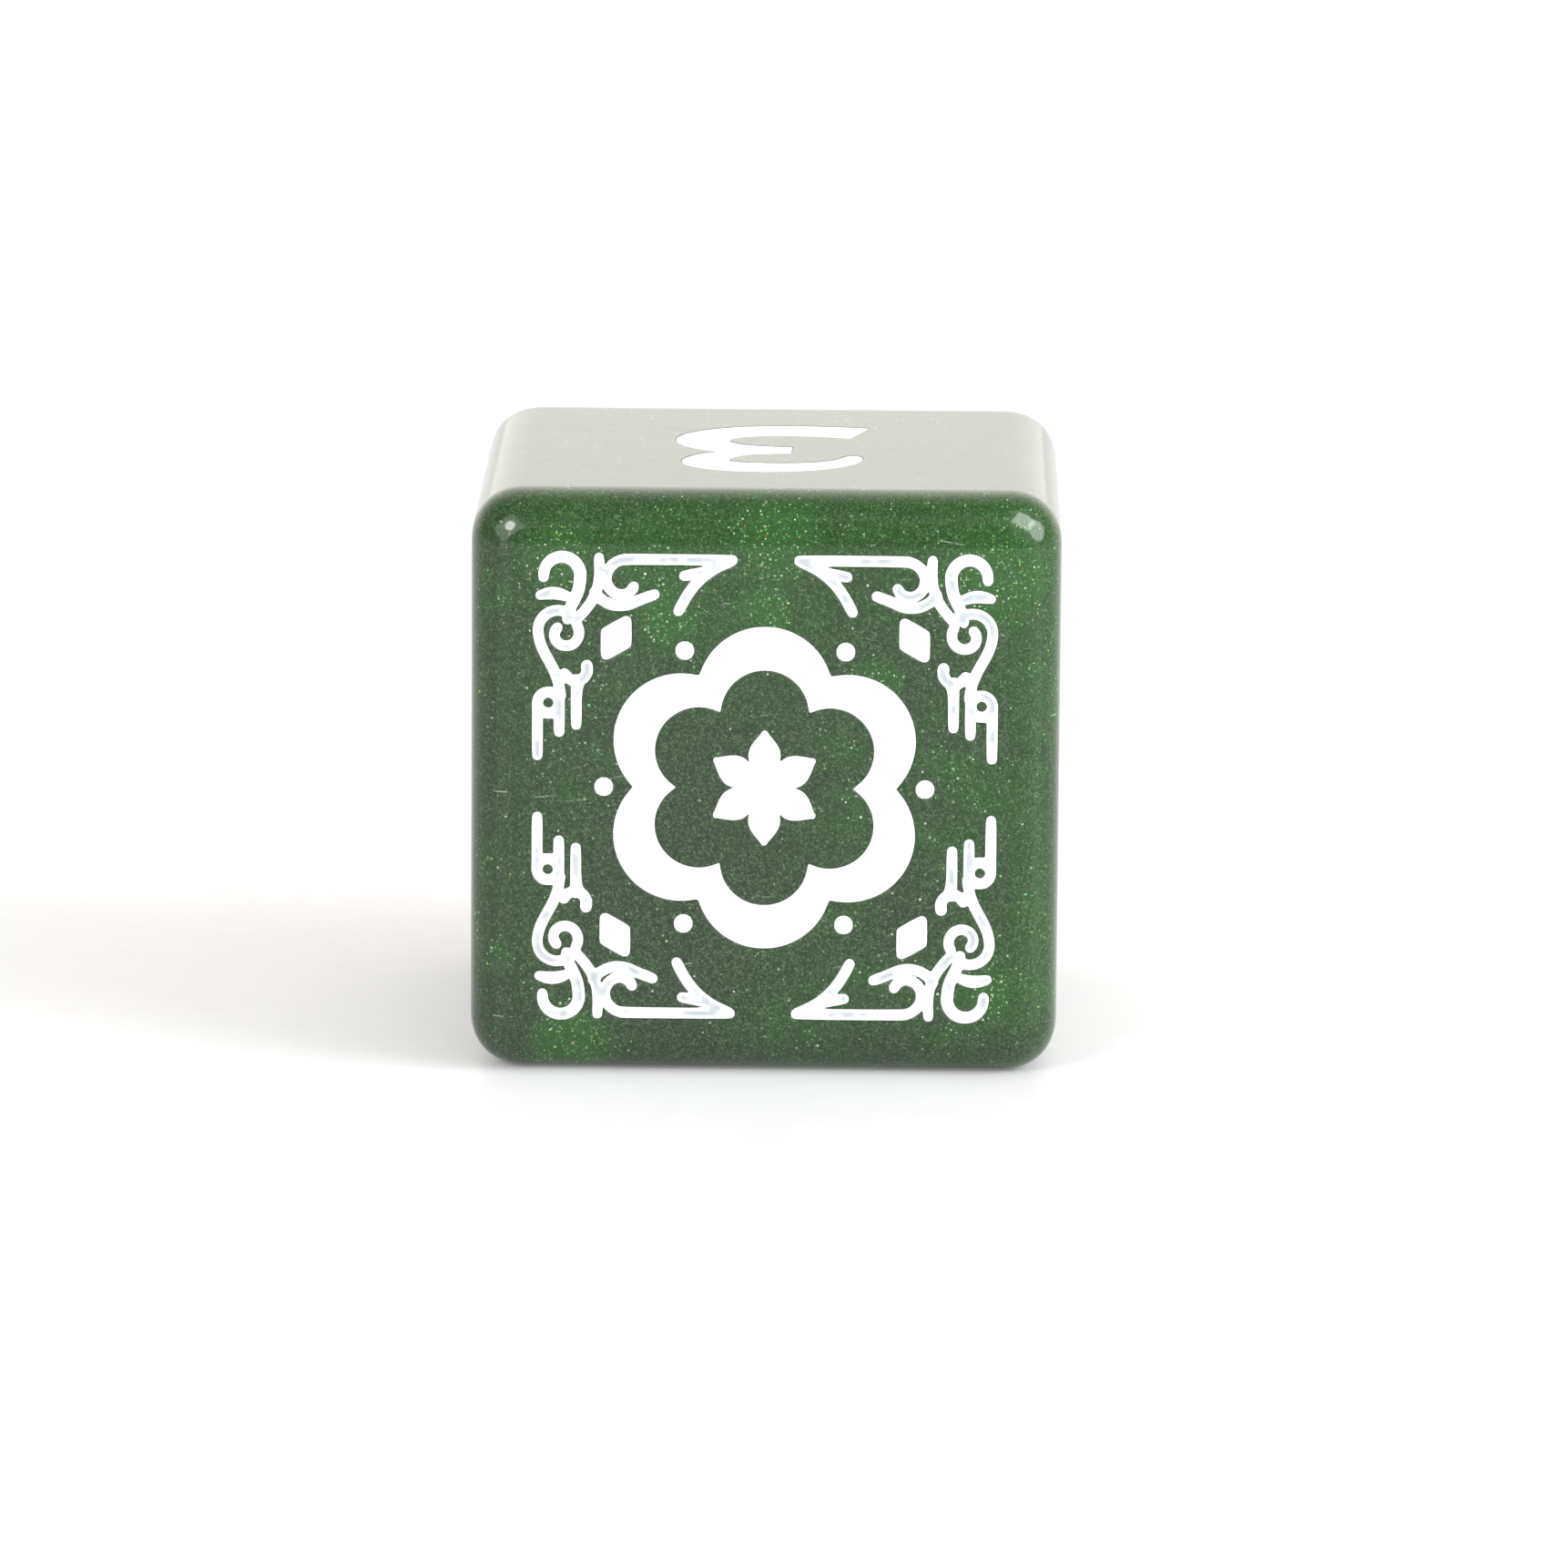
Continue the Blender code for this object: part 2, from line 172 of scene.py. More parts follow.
class Field:
    """Signed distance from a figure's outline on a grid: negative inside."""

    def __init__(self, loops):
        everything = np.concatenate(loops)
        self.low = everything.min(axis=0) - GRID_MARGIN
        size = everything.max(axis=0) + GRID_MARGIN - self.low
        self.shape = tuple(int(math.ceil(v / GRID_STEP)) + 1 for v in size)
        xs = self.low[0] + np.arange(self.shape[0]) * GRID_STEP
        ys = self.low[1] + np.arange(self.shape[1]) * GRID_STEP
        inside = np.zeros(self.shape, dtype=bool)
        rim = []
        for loop in loops:
            for a, b in zip(loop, np.roll(loop, -1, axis=0)):
                crossed = (ys > min(a[1], b[1])) & (ys <= max(a[1], b[1]))
                if crossed.any():
                    x = a[0] + (ys[crossed] - a[1]) / (b[1] - a[1]) * (b[0] - a[0])
                    inside[:, crossed] ^= xs[:, None] > x[None, :]
                steps = max(1, int(np.hypot(*(b - a)) / RIM_STEP))
                rim.extend(a + (b - a) * k / steps for k in range(steps))
        tree = kdtree.KDTree(len(rim))
        for i, point in enumerate(rim):
            tree.insert((point[0], point[1], 0.0), i)
        tree.balance()
        far = np.array([[tree.find((x, y, 0.0))[2] for y in ys] for x in xs])
        self.value = np.where(inside, -far, far)

    def at(self, x, y):
        """The distance at a point, between grid points by straight lines."""
        if not all(low <= v <= low + (n - 1) * GRID_STEP for v, low, n in zip((x, y), self.low, self.shape)):
            return FAR
        fx = min(max((x - self.low[0]) / GRID_STEP, 0.0), self.shape[0] - 1.001)
        fy = min(max((y - self.low[1]) / GRID_STEP, 0.0), self.shape[1] - 1.001)
        i, j = int(fx), int(fy)
        a, b = fx - i, fy - j
        v = self.value
        return (v[i, j] * (1 - a) * (1 - b) + v[i + 1, j] * a * (1 - b)
                + v[i, j + 1] * (1 - a) * b + v[i + 1, j + 1] * a * b)

    def contour(self, level):
        """Closed loops along which the distance has one value."""
        v = self.value - level
        v = np.where(v == 0.0, 1e-9, v)
        sign = v > 0
        total = sign[:-1, :-1].astype(int) + sign[1:, :-1] + sign[:-1, 1:] + sign[1:, 1:]
        links = {}

        def crossing(p, q):
            """Where the contour crosses one side of a grid square."""
            share = min(max(v[p] / (v[p] - v[q]), CUT_LIMITS[0]), CUT_LIMITS[1])
            return (round(self.low[0] + (p[0] + (q[0] - p[0]) * share) * GRID_STEP, 6),
                    round(self.low[1] + (p[1] + (q[1] - p[1]) * share) * GRID_STEP, 6))

        for i, j in zip(*np.nonzero((total > 0) & (total < 4))):
            ring = [(i, j), (i + 1, j), (i + 1, j + 1), (i, j + 1)]
            cut = [crossing(p, q) if p < q else crossing(q, p)
                   for p, q in zip(ring, ring[1:] + ring[:1]) if sign[p] != sign[q]]
            pairs = [cut] if len(cut) == 2 else [cut[:2], cut[2:]]
            for a, b in pairs:
                links.setdefault(a, []).append(b)
                links.setdefault(b, []).append(a)
        return chained(links)


# ---------------------------------------------------------------- meshes

def triangulated(loops, loose):
    """A plane filled with triangles that keep every loop.

    This gives the points, the triangles, the number that each point had when it came in, and for
    each pair of neighbours on a loop the number of that piece of the loop.
    """
    points, edges = [], []
    for loop in loops:
        first = len(points)
        points.extend(Vector((float(x), float(y))) for x, y in loop)
        edges.extend((first + k, first + (k + 1) % len(loop)) for k in range(len(loop)))
    points.extend(Vector((float(x), float(y))) for x, y in loose)
    out, lines, faces, sources, line_sources, _ = delaunay_2d_cdt(points, edges, [], 0, 1e-7, True)
    pieces = {frozenset(line): min(source) for line, source in zip(lines, line_sources) if source}
    return out, faces, [source[0] if source else -1 for source in sources], pieces


def within(faces, walls, inner):
    """The triangles that can be reached from an inner point without crossing a wall."""
    beside = {}
    for number, face in enumerate(faces):
        for a, b in zip(face, face[1:] + face[:1]):
            beside.setdefault(frozenset((a, b)), []).append(number)
    front = [number for number, face in enumerate(faces) if any(inner[i] for i in face)]
    reached = set(front)
    while front:
        face = faces[front.pop()]
        for a, b in zip(face, face[1:] + face[:1]):
            pair = frozenset((a, b))
            fresh = [number for number in beside[pair] if number not in reached and pair not in walls]
            reached.update(fresh)
            front.extend(fresh)
    return [faces[number] for number in sorted(reached)]


def on_face(axes, x, y, z):
    """A point of a face in metres: x and y across the face, z outwards from its blended surface."""
    right, up, outward, centre = axes
    spot = right * x + up * y + outward * HALF
    core = Vector([min(max(value, BLEND - HALF), HALF - BLEND) for value in spot])
    away = spot - core
    size = sum(abs(value) ** BLEND_POWER for value in away) ** (1.0 / BLEND_POWER)
    return (centre - outward * HALF + core + away * (BLEND / size) + outward * z) * MM


def mesh_object(name, vertices, faces):
    """A smooth-shaded object from vertices in metres, welded, with its faces pointing out."""
    mesh = bpy.data.meshes.new(name)
    mesh.from_pydata([tuple(v) for v in vertices], [], faces)
    work = bmesh.new()
    work.from_mesh(mesh)
    bmesh.ops.remove_doubles(work, verts=work.verts, dist=WELD)
    bmesh.ops.recalc_face_normals(work, faces=work.faces)
    work.to_mesh(mesh)
    work.free()
    mesh.shade_smooth()
    piece = bpy.data.objects.new(name, mesh)
    bpy.context.scene.collection.objects.link(piece)
    return piece


def paint_piece(node, field, axes):
    """The paint of one figure: a sunken skin on a closed body that fills its pocket."""
    contours = [(field.contour(level), height) for level, height in PAINT_PROFILE]
    loops = [loop for found, _ in contours for loop in found]
    heights = [height for found, height in contours for loop in found for _ in loop]
    on_outline = sum(len(loop) for loop in contours[0][0])
    chance = random.Random(node)
    loose = []
    high = field.low + np.array(field.shape) * GRID_STEP
    for x in np.arange(field.low[0], high[0], SCATTER_STEP):
        for y in np.arange(field.low[1], high[1], SCATTER_STEP):
            spot = (x + chance.uniform(-SCATTER_SHIFT, SCATTER_SHIFT),
                    y + chance.uniform(-SCATTER_SHIFT, SCATTER_SHIFT))
            if field.at(*spot) < PAINT_PROFILE[-1][0] - PAINT_MARGIN:
                loose.append(spot)
                heights.append(PAINT_BED + chance.uniform(-PAINT_WAVE, PAINT_WAVE))
    points, faces, sources, pieces = triangulated(loops, loose)
    outline = {pair for pair, number in pieces.items() if number < on_outline}
    kept = within(faces, outline, [source >= on_outline for source in sources])
    top = [on_face(axes, p.x, p.y, heights[s] if s >= 0 else PAINT_BED) for p, s in zip(points, sources)]
    bottom = [on_face(axes, p.x, p.y, PAINT_FLOOR) for p in points]
    count = len(points)
    sides = {}
    for face in kept:
        for a, b in zip(face, face[1:] + face[:1]):
            sides[(a, b)] = sides.get((a, b), 0) + 1
    rim = [(a, b) for a, b in sides if (b, a) not in sides]
    solid = [list(face) for face in kept]
    solid += [[count + i for i in reversed(face)] for face in kept]
    solid += [[b, a, count + a, count + b] for a, b in rim]
    used = sorted({i for face in solid for i in face})
    place = {old: new for new, old in enumerate(used)}
    everything = top + bottom
    piece = mesh_object(node.replace("_fill", "_paint"), [everything[i] for i in used],
                        [[place[i] for i in face] for face in solid])
    right, up, _, centre = axes
    inset = piece.data.attributes.new("inset", "FLOAT", "POINT")
    for vertex, value in zip(piece.data.vertices, inset.data):
        spot = vertex.co / MM - centre
        value.value = -field.at(spot.dot(right), spot.dot(up))
    return piece


def face_with_pockets(axes, fields):
    """The middle of one side of the casting, with its pockets."""
    side = [(v, -FLAT) for v in (-FLAT, *FLAT_LINES)]
    rim = side + [(FLAT, v) for v, _ in side] + [(-v, FLAT) for v, _ in side] + [(-FLAT, -v) for v, _ in side]
    loops = [np.array(rim)]
    heights = [0.0] * len(rim)
    for field in fields:
        for level, height in POCKET_PROFILE:
            for loop in field.contour(level):
                loops.append(loop)
                heights.extend([height] * len(loop))
    loose = [(x, y) for x in FLAT_LINES for y in FLAT_LINES
             if all(field.at(x, y) > POCKET_PROFILE[0][0] + POCKET_MARGIN for field in fields)]
    heights.extend([0.0] * len(loose))
    points, faces, sources, _ = triangulated(loops, loose)
    vertices = [on_face(axes, p.x, p.y, heights[s] if s >= 0 else 0.0) for p, s in zip(points, sources)]
    return vertices, [list(face) for face in faces]


def round_border(axes):
    """The part of one side of the casting around that middle, out to halfway round each edge."""
    first, last = math.atan((FLAT + BLEND - HALF) / BLEND), math.radians(45.0)
    turns = [first + (last - first) * k / EDGE_STEPS for k in range(EDGE_STEPS + 1)]
    reach = [HALF - BLEND + BLEND * math.tan(turn) for turn in turns]
    lines = [-value for value in reversed(reach)] + list(FLAT_LINES) + reach
    vertices = [on_face(axes, x, y, 0.0) for y in lines for x in lines]
    width = len(lines)
    middle = range(EDGE_STEPS, width - 1 - EDGE_STEPS)
    faces = []
    for j in range(width - 1):
        for i in range(width - 1):
            if i in middle and j in middle:
                continue
            corner = j * width + i
            faces.append([corner, corner + 1, corner + 1 + width, corner + width])
    return vertices, faces


def true_normals(mesh):
    """Exact normals where a mesh follows the outside of the blended cube; its own elsewhere."""
    normals = []
    for vertex in mesh.vertices:
        spot = vertex.co / MM - Vector((0.0, 0.0, HALF))
        core = Vector([min(max(value, BLEND - HALF), HALF - BLEND) for value in spot])
        away = spot - core
        size = sum(abs(value) ** BLEND_POWER for value in away) ** (1.0 / BLEND_POWER)
        slope = Vector([math.copysign(abs(value) ** (BLEND_POWER - 1.0), value) for value in away])
        normals.append(slope.normalized() if abs(size - BLEND) < 0.001 else Vector((0.0, 0.0, 0.0)))
    mesh.normals_split_custom_set_from_vertices(normals)


def casting(fields_by_face, axes_by_face):
    """The whole casting as one closed surface."""
    vertices, faces = [], []
    for key, axes in axes_by_face.items():
        for part_vertices, part_faces in (face_with_pockets(axes, fields_by_face[key]), round_border(axes)):
            first = len(vertices)
            vertices.extend(part_vertices)
            faces.extend([first + i for i in face] for face in part_faces)
    piece = mesh_object("die_casting", vertices, faces)
    true_normals(piece.data)
    return piece


def build_pieces():
    """Redraws every figure, makes its paint, and makes the casting with all the pockets."""
    fields_by_face, axes_by_face, paints = {}, {}, []
    for node in FILL_NODES:
        axes = face_axes(*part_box(node))
        field = Field([smoothed(loop) for loop in top_loops(node, axes)])
        fields_by_face.setdefault(face_key(axes), []).append(field)
        axes_by_face[face_key(axes)] = axes
        piece = paint_piece(node, field, axes)
        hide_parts(node)
        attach(piece, "root")
        paints.append(piece)
    body = casting(fields_by_face, axes_by_face)
    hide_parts(BODY_NODE)
    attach(body, "root")
    return body, paints


# ---------------------------------------------------------------- materials

# The resin, from its dull grey-green to its clearest green; the clearer greens also carry painted light near
# the edges and towards the top and right.
RESIN_STOPS = ((0.10, (0.022, 0.036, 0.022)), (0.42, (0.019, 0.048, 0.016)),
               (0.66, (0.015, 0.065, 0.010)), (1.0, (0.014, 0.096, 0.006)))
DRIFT_GREEN = (0.022, 0.120, 0.014)
GRAIN_DARK = (0.008, 0.016, 0.007)
GRAIN_LIGHT = (0.19, 0.29, 0.155)
SCRATCH_GREY = (0.36, 0.44, 0.37)
RESIN_IOR = 1.5

# Scale of the grain's cells, and how dark and how light it goes.
GRAIN = ((26.0, 0.70, 0.46), (14.0, 0.26, 0.12))
# Where the glitter is thickest, and how far each drift reaches.
DRIFTS = (
    ((0.3, -8.0, 15.0), 1.7),
    ((0.1, -8.0, 12.9), 0.9),
    ((6.1, -7.8, 13.8), 2.0),
    ((6.2, -8.0, 2.3), 1.0),
    ((-5.6, -7.8, 14.2), 1.5),
    ((-5.2, -7.8, 0.8), 1.7),
    ((-2.6, -8.0, 12.8), 1.3),
    ((3.0, -8.0, 10.8), 0.9),
)
# Scale of a layer's cells, radius of its flecks, share of cells filled in drifts and elsewhere,
# and the brightness of its dullest flecks: each fleck's brightness is a painted glint.
GLITTER = ((14.0, 0.42, 0.46, 0.035, 0.12), (8.0, 0.34, 0.25, 0.012, 0.25), (3.4, 0.13, 0.07, 0.008, 0.6))
# The flecks' own tints; how brightly each is drawn is a painted glint, standing in for the light it catches.
GLITTER_COLOURS = ((0.0, (0.26, 0.56, 0.20)), (0.36, (0.50, 0.62, 0.12)), (0.54, (0.07, 0.54, 0.09)),
                   (0.70, (0.12, 0.54, 0.38)), (0.78, (0.60, 0.42, 0.12)), (0.84, (0.74, 0.80, 0.66)))

PAINT_WHITE = (0.93, 0.94, 0.94)
PAINT_THIN = (0.66, 0.73, 0.76)       # paint that the resin shows through
PAINT_HOLLOW = (0.40, 0.46, 0.50)     # the hollow middle of a thin line
HOLLOW_START = 0.07                   # millimetres in from the line's outline
HOLLOW_FULL = 0.11
PAINT_IOR = 1.48
BROAD_HOLLOW = 0.0                    # how strongly the hollow shows in broad figures
LINE_HOLLOW = 0.95                    # and in thin lines

FLOOR_COLOURS = ((0.70, 0.705, 0.71), (0.74, 0.745, 0.75))
FLOOR_GLOW = 0.165
FLOOR_GLOW_COLOUR = (1.0, 0.985, 0.98)


class Graph:
    """A material or world node tree, with short ways to add nodes."""

    def __init__(self, tree):
        self.tree = tree
        tree.nodes.clear()

    def add(self, kind, inputs=(), **settings):
        node = self.tree.nodes.new(kind)
        for name, value in settings.items():
            setattr(node, name, value)
        for name, value in dict(inputs).items():
            self.feed(node.inputs[name], value)
        return node

    def feed(self, socket, value):
        """Links a socket to another node's output, or sets it to a constant."""
        if isinstance(value, bpy.types.NodeSocket):
            self.tree.links.new(value, socket)
        elif isinstance(value, tuple) and len(value) == 3 and socket.type == "RGBA":
            socket.default_value = (*value, 1.0)
        else:
            socket.default_value = value

    def math(self, operation, a, b=0.0, c=0.0):
        return self.add("ShaderNodeMath", {0: a, 1: b, 2: c}, operation=operation).outputs[0]

    def step(self, value, start, end, low=0.0, high=1.0):
        """A smooth step of a value from one level to another."""
        node = self.add("ShaderNodeMapRange", interpolation_type="SMOOTHSTEP")
        for name, item in (("Value", value), ("From Min", start), ("From Max", end),
                           ("To Min", low), ("To Max", high)):
            self.feed(node.inputs[name], item)
        return node.outputs[0]

    def mix(self, share, a, b):
        """The first colour, or the second by its share."""
        node = self.add("ShaderNodeMix", data_type="RGBA")
        self.feed(node.inputs["Factor"], share)
        self.feed(node.inputs[6], a)
        self.feed(node.inputs[7], b)
        return node.outputs[2]

    def noise(self, place, scale, detail=2.0, roughness=0.5, distortion=0.0):
        inputs = {"Vector": place, "Scale": scale, "Detail": detail, "Roughness": roughness,
                  "Distortion": distortion}
        return self.add("ShaderNodeTexNoise", inputs).outputs["Fac"]

    def cells(self, place, scale):
        """Scattered points: the distance to the nearest and that point's three random numbers."""
        node = self.add("ShaderNodeTexVoronoi", {"Vector": place, "Scale": scale})
        split = self.add("ShaderNodeSeparateColor", {"Color": node.outputs["Color"]})
        return node.outputs["Distance"], split.outputs[0], split.outputs[1], split.outputs[2]

    def ramp(self, value, stops, interpolation="LINEAR"):
        node = self.add("ShaderNodeValToRGB", {"Fac": value})
        node.color_ramp.interpolation = interpolation
        ramp = node.color_ramp.elements
        while len(ramp) < len(stops):
            ramp.new(0.5)
        for element, (place, colour) in zip(ramp, stops):
            element.position = place
            element.color = (*colour, 1.0)
        return node.outputs[0]

    def place_mm(self):
        """Position on the object, in millimetres."""
        place = self.add("ShaderNodeTexCoord").outputs["Object"]
        return self.add("ShaderNodeVectorMath", {0: place, "Scale": 1.0 / MM}, operation="SCALE").outputs[0]


def new_material(name):
    """A material with an empty node tree, and that tree."""
    material = bpy.data.materials.new(name)
    material.use_nodes = True
    return material, Graph(material.node_tree)


def nearness_to_edge(g, x, y, height):
    """How near a surface point is to an edge of the cube: the middle of its three distances out."""
    sizes = [g.math("ABSOLUTE", value) for value in (x, y, height)]
    largest = g.math("MAXIMUM", g.math("MAXIMUM", sizes[0], sizes[1]), sizes[2])
    smallest = g.math("MINIMUM", g.math("MINIMUM", sizes[0], sizes[1]), sizes[2])
    total = g.math("ADD", g.math("ADD", sizes[0], sizes[1]), sizes[2])
    return g.math("SUBTRACT", g.math("SUBTRACT", total, largest), smallest)


def clouded_with_painted_light(g, place, wisps):
    """Resin that is greener in clouds, with painted light: greener along the cube's edges and towards its top
    and right, standing in for light that passes through the resin there.
    """
    split = g.add("ShaderNodeSeparateXYZ", {0: place})
    x, y, z = split.outputs[0], split.outputs[1], split.outputs[2]
    height = g.math("SUBTRACT", z, HALF)
    clouds = g.noise(place, scale=0.16, detail=3.0, roughness=0.55, distortion=0.6)
    green = g.math("ADD", g.math("MULTIPLY", clouds, 0.7), g.math("MULTIPLY", wisps, 0.35))
    # painted light: greener near the cube's edges, standing in for light that passes through the resin there
    green = g.math("ADD", green, g.step(nearness_to_edge(g, x, y, height), 3.0, 7.0, high=0.16))
    # painted light: greener towards the top and the right, the sides from which the lamps shine
    green = g.math("ADD", green, g.math("MULTIPLY", height, 0.016))
    green = g.math("ADD", green, g.math("MULTIPLY", x, 0.008))
    return g.ramp(g.math("SUBTRACT", green, 0.12), RESIN_STOPS)


def grained(g, place, body):
    """Pigment and the dullest glitter make a fine grain, light and dark."""
    for scale, dark, light in GRAIN:
        _, shade, spark, _ = g.cells(place, scale)
        body = g.mix(g.math("MULTIPLY", g.math("POWER", shade, 2.0), dark), body, GRAIN_DARK)
        body = g.mix(g.math("MULTIPLY", g.math("POWER", spark, 5.0), light), body, GRAIN_LIGHT)
    return body


def drifts(g, place, wisps):
    """Where glitter lies thick: everywhere a little, and round the centres of the drifts."""
    drift = g.step(g.noise(place, scale=0.28, detail=3.0, roughness=0.65, distortion=0.8), 0.48, 0.85)
    for centre, reach in DRIFTS:
        away = g.add("ShaderNodeVectorMath", {0: place, 1: centre}, operation="DISTANCE").outputs["Value"]
        away = g.math("MULTIPLY_ADD", wisps, 1.6, g.math("SUBTRACT", away, 0.8))
        drift = g.math("MAXIMUM", drift, g.step(away, reach, reach * 0.25))
    return drift


def glittered_with_painted_glints(g, place, body, drift):
    """Flecks in three sizes, each a disc in some of the cells of its own grid, in its own tint and with a
    painted glint: a random brightness stands in for the light that each fleck catches.
    """
    for scale, radius, share, rest, dull in GLITTER:
        distance, chance, tint, painted_glint = g.cells(place, scale)
        wanted = g.math("SUBTRACT", 1.0, g.math("MULTIPLY_ADD", drift, share, rest))
        chosen = g.math("GREATER_THAN", chance, wanted)
        mask = g.math("MULTIPLY", chosen, g.step(distance, radius, radius * 0.55))
        # painted glint: each fleck is brighter or duller at random, as if it caught more or less light
        mask = g.math("MULTIPLY", mask, g.math("MULTIPLY_ADD", g.math("POWER", painted_glint, 2.0), 1.0 - dull, dull))
        body = g.mix(mask, body, g.ramp(tint, GLITTER_COLOURS, "CONSTANT"))
    return body


def scratches(g, place):
    """Hairline scratches: a long nearly level line in a few cells of a coarse grid."""
    cell = g.add("ShaderNodeTexVoronoi", {"Vector": place, "Scale": 1.0})
    chance = g.add("ShaderNodeSeparateColor", {"Color": cell.outputs["Color"]})
    ends = {0: place, 1: cell.outputs["Position"]}
    away = g.add("ShaderNodeVectorMath", ends, operation="SUBTRACT").outputs[0]
    along = g.add("ShaderNodeSeparateXYZ", {0: away})
    tilt = g.math("MULTIPLY_ADD", chance.outputs[1], 0.5, -0.25)
    lean = g.math("MULTIPLY", g.math("ADD", along.outputs[0], along.outputs[1]), tilt)
    across = g.step(g.math("ABSOLUTE", g.math("SUBTRACT", along.outputs[2], lean)), 0.024, 0.006)
    reach = g.math("MULTIPLY_ADD", chance.outputs[2], 0.40, 0.08)
    hairs = g.math("MULTIPLY", across, g.math("LESS_THAN", g.math("ABSOLUTE", along.outputs[0]), reach))
    hairs = g.math("MULTIPLY", hairs, g.step(chance.outputs[0], 0.90, 1.0))
    return g.math("MULTIPLY", hairs, g.step(g.noise(place, scale=2.6, roughness=0.6), 0.40, 0.62))


def resin_material():
    """Green resin with clouds of pigment and painted light that passes through near its edges and towards its
    top and right, full of fine glitter whose flecks carry painted glints, under a hard gloss surface.
    """
    material, g = new_material("glitter_resin")
    place = g.place_mm()
    wisps = g.noise(place, scale=0.55, detail=4.0, roughness=0.6, distortion=1.2)
    drift = drifts(g, place, wisps)
    body = grained(g, place, clouded_with_painted_light(g, place, wisps))
    body = g.mix(g.math("MULTIPLY", drift, 0.45), body, DRIFT_GREEN)
    body = glittered_with_painted_glints(g, place, body, drift)
    hairs = scratches(g, place)
    body = g.mix(g.math("MULTIPLY", hairs, 0.8), body, SCRATCH_GREY)

    smear = g.noise(place, scale=1.1, detail=4.0, roughness=0.6, distortion=0.6)
    rough = g.math("MULTIPLY_ADD", smear, 0.10, 0.06)
    rough = g.math("MULTIPLY_ADD", hairs, 0.25, rough)
    waves = g.noise(place, scale=0.7, detail=1.0)
    fine = g.noise(place, scale=26.0, roughness=0.6)
    relief = g.math("ADD", g.math("MULTIPLY", waves, 0.006), g.math("MULTIPLY", fine, 0.0002))
    relief = g.math("MULTIPLY_ADD", hairs, -0.002, relief)
    bump = g.add("ShaderNodeBump", {"Height": relief, "Strength": 0.5, "Distance": MM})
    shader = g.add("ShaderNodeBsdfPrincipled", {
        "Base Color": body, "Roughness": rough, "IOR": RESIN_IOR, "Normal": bump.outputs[0]})
    g.add("ShaderNodeOutputMaterial", {"Surface": shader.outputs[0]})
    return material


def paint_material(name, hollow):
    """White paint wiped into the engraving; thin lines are hollow along their middles."""
    material, g = new_material(name)
    place = g.place_mm()
    turned = g.add("ShaderNodeMapping", {"Vector": place, "Rotation": (0.3, 0.2, 0.5)}).outputs[0]
    streaks = g.noise(turned, scale=3.0, detail=4.0, roughness=0.6, distortion=0.8)
    thin = g.step(g.noise(place, scale=0.5), 0.48, 0.7, high=0.5)
    colour = g.mix(g.math("MULTIPLY", g.step(streaks, 0.55, 0.75), thin), PAINT_WHITE, PAINT_THIN)

    inset = g.add("ShaderNodeAttribute", attribute_name="inset").outputs["Fac"]
    broken = g.step(g.noise(place, scale=1.3, roughness=0.6), 0.42, 0.64)
    line = g.math("MULTIPLY", g.step(inset, HOLLOW_START, HOLLOW_FULL), broken)
    colour = g.mix(g.math("MULTIPLY", line, hollow), colour, PAINT_HOLLOW)
    speck = g.step(g.noise(place, scale=9.0, roughness=0.6), 0.70, 0.78, high=0.5 * hollow)
    colour = g.mix(speck, colour, PAINT_HOLLOW)

    rough = g.math("MULTIPLY_ADD", streaks, 0.2, 0.28)
    tooth = g.noise(place, scale=11.0)
    relief = g.math("ADD", g.math("MULTIPLY", streaks, 0.008), g.math("MULTIPLY", tooth, 0.003))
    bump = g.add("ShaderNodeBump", {"Height": relief, "Strength": 0.6, "Distance": MM})
    shader = g.add("ShaderNodeBsdfPrincipled", {
        "Base Color": colour, "Roughness": rough, "IOR": PAINT_IOR, "Normal": bump.outputs[0]})
    g.add("ShaderNodeOutputMaterial", {"Surface": shader.outputs[0]})
    return material


def floor_material():
    """A white matte sweep with a faint tooth, that glows a little so that it reads as white."""
    material, g = new_material("white_sweep")
    tooth = g.noise(g.place_mm(), scale=0.8, detail=3.0, roughness=0.6)
    shader = g.add("ShaderNodeBsdfPrincipled", {
        "Base Color": g.mix(tooth, *FLOOR_COLOURS),
        "Roughness": g.math("MULTIPLY_ADD", tooth, 0.08, 0.14),
        "Specular IOR Level": 0.01, "Emission Color": FLOOR_GLOW_COLOUR, "Emission Strength": FLOOR_GLOW})
    g.add("ShaderNodeOutputMaterial", {"Surface": shader.outputs[0]})
    return material


# ---------------------------------------------------------------- setting

FLOOR_LINES = (-3.0, -0.2, 0.2, 3.0)       # metres: where the floor's patches meet

# Round lamps: direction from the die, distance and diameter in metres, watts and colour.
LAMPS = {
    "key_softbox": ((0.80, -0.36, 0.42), 0.45, 0.32, 1.4, (0.97, 1.0, 1.02)),
    "side_softbox": ((0.62, -0.45, 0.64), 0.45, 0.70, 1.0, (0.97, 1.0, 1.02)),
    "fill_softbox": ((-0.44, -0.74, 0.50), 0.6, 0.20, 1.2, (0.98, 1.0, 1.0)),
}
# Strips: direction from the die, the way that the strip lies, distance, length and width, and watts.
STRIPS = {
    "right_strip": ((0.46, -0.46, 0.75), (0.716, 0.0, -0.698), 0.5, (0.32, 0.30), 2.1),
    "left_strip": ((-0.52, -0.70, 0.44), (-0.754, 0.071, -0.652), 0.6, (0.54, 0.42), 1.5),
}
STRIP_COLOUR = (0.99, 1.0, 0.96)

ROOM_COLOUR = (1.0, 0.962, 0.93)
ROOM_LIGHT = 0.52                          # in front of the die and beside it
ROOM_BACK_LIGHT = 1.12                     # what the wall behind it adds

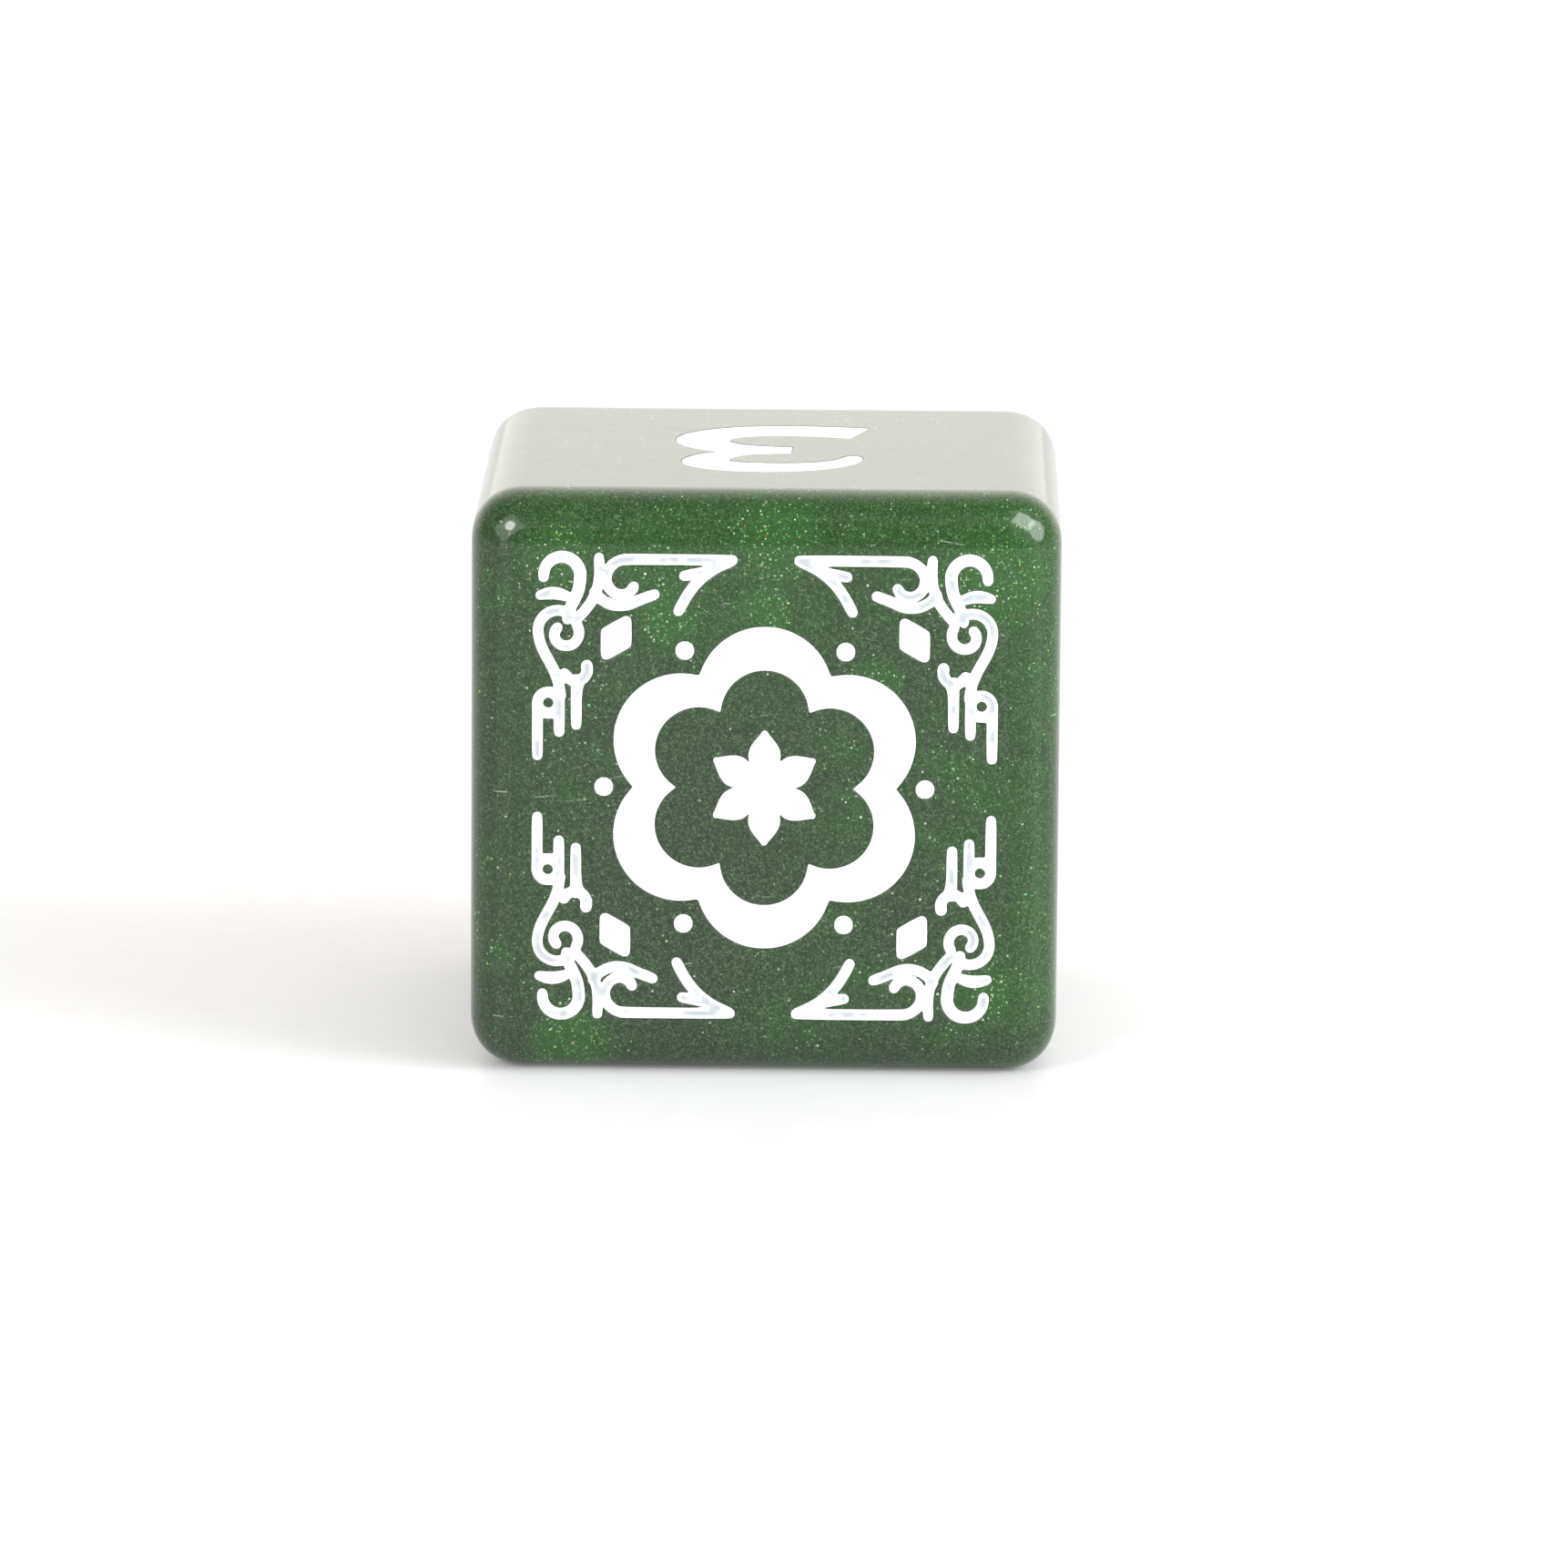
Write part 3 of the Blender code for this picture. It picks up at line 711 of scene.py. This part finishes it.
CAMERA_PLACE = (3.50, -293.2, 65.14)
CAMERA_YAW = -0.0104                       # radians, as are the other two
CAMERA_PITCH = 0.1973
CAMERA_ROLL = 0.0075
CAMERA_LENS = 246.7
CAMERA_SENSOR = 36.0
CAMERA_NEAR = 0.01                         # metres


def add_floor():
    """A wide pale floor, in nine patches so that it isn't one huge quad."""
    count = len(FLOOR_LINES)
    vertices = [(x, y, 0.0) for y in FLOOR_LINES for x in FLOOR_LINES]
    corners = [j * count + i for j in range(count - 1) for i in range(count - 1)]
    faces = [[corner, corner + 1, corner + 1 + count, corner + count] for corner in corners]
    floor = mesh_object("floor", vertices, faces)
    floor.data.materials.append(floor_material())


def add_lamp(name, towards, distance, size, power, colour):
    """A round lamp that faces the die from one direction."""
    lamp = bpy.data.lights.new(name, "AREA")
    lamp.shape = "DISK"
    lamp.size = size
    lamp.energy = power
    lamp.color = colour
    piece = bpy.data.objects.new(name, lamp)
    aim = Vector(towards).normalized()
    piece.location = Vector((0.0, 0.0, HALF * MM)) + aim * distance
    piece.rotation_euler = aim.to_track_quat("Z", "Y").to_euler()
    bpy.context.scene.collection.objects.link(piece)
    return piece


def add_strip(name, towards, along, distance, size, power):
    """A rectangular lamp that is seen as a highlight on gloss and adds no light to matte surfaces."""
    piece = add_lamp(name, towards, distance, size[0], power, STRIP_COLOUR)
    piece.data.shape = "RECTANGLE"
    piece.data.size_y = size[1]
    aim = Vector(towards).normalized()
    side = (Vector(along) - aim * aim.dot(along)).normalized()
    piece.rotation_euler = Matrix((side, aim.cross(side), aim)).transposed().to_euler()
    piece.visible_diffuse = False


def add_surroundings():
    """A white room, brightest behind the die."""
    world = bpy.data.worlds.new("white_room")
    world.use_nodes = True
    bpy.context.scene.world = world
    g = Graph(world.node_tree)
    direction = g.add("ShaderNodeTexCoord").outputs["Generated"]
    split = g.add("ShaderNodeSeparateXYZ", {0: direction})
    back = g.step(split.outputs[1], 0.1, 0.95)
    strength = g.math("MULTIPLY_ADD", back, ROOM_BACK_LIGHT, ROOM_LIGHT)
    sky = g.add("ShaderNodeBackground", {"Color": ROOM_COLOUR, "Strength": strength})
    g.add("ShaderNodeOutputWorld", {"Surface": sky.outputs[0]})


def add_camera():
    """The camera in front of the die, a little above it, looking slightly down."""
    across = math.cos(CAMERA_PITCH)
    forward = Vector((
        math.sin(CAMERA_YAW) * across, math.cos(CAMERA_YAW) * across, -math.sin(CAMERA_PITCH)))
    level = Vector((math.cos(CAMERA_YAW), -math.sin(CAMERA_YAW), 0.0))
    right = level * math.cos(CAMERA_ROLL) + level.cross(forward) * math.sin(CAMERA_ROLL)
    up = right.cross(forward)
    lens = bpy.data.cameras.new("camera")
    lens.sensor_width = CAMERA_SENSOR
    lens.lens = CAMERA_LENS
    lens.clip_start = CAMERA_NEAR
    lens.dof.use_dof = False
    camera = bpy.data.objects.new("camera", lens)
    turn = Matrix((right, up, -forward)).transposed().to_4x4()
    camera.matrix_world = Matrix.Translation(Vector(CAMERA_PLACE) * MM) @ turn
    bpy.context.scene.collection.objects.link(camera)
    bpy.context.scene.camera = camera


def add_looks(body, paints):
    """Gives every piece its material."""
    body.data.materials.append(resin_material())
    broad_paint = paint_material("white_paint", BROAD_HOLLOW)
    line_paint = paint_material("white_line_paint", LINE_HOLLOW)
    for piece in paints:
        piece.data.materials.append(line_paint if piece.name.startswith("scroll") else broad_paint)


add_looks(*build_pieces())
add_floor()
add_surroundings()
for lamp_name, lamp in LAMPS.items():
    add_lamp(lamp_name, *lamp)
for strip_name, strip in STRIPS.items():
    add_strip(strip_name, *strip)
add_camera()
bpy.context.scene.view_settings.view_transform = "Standard"
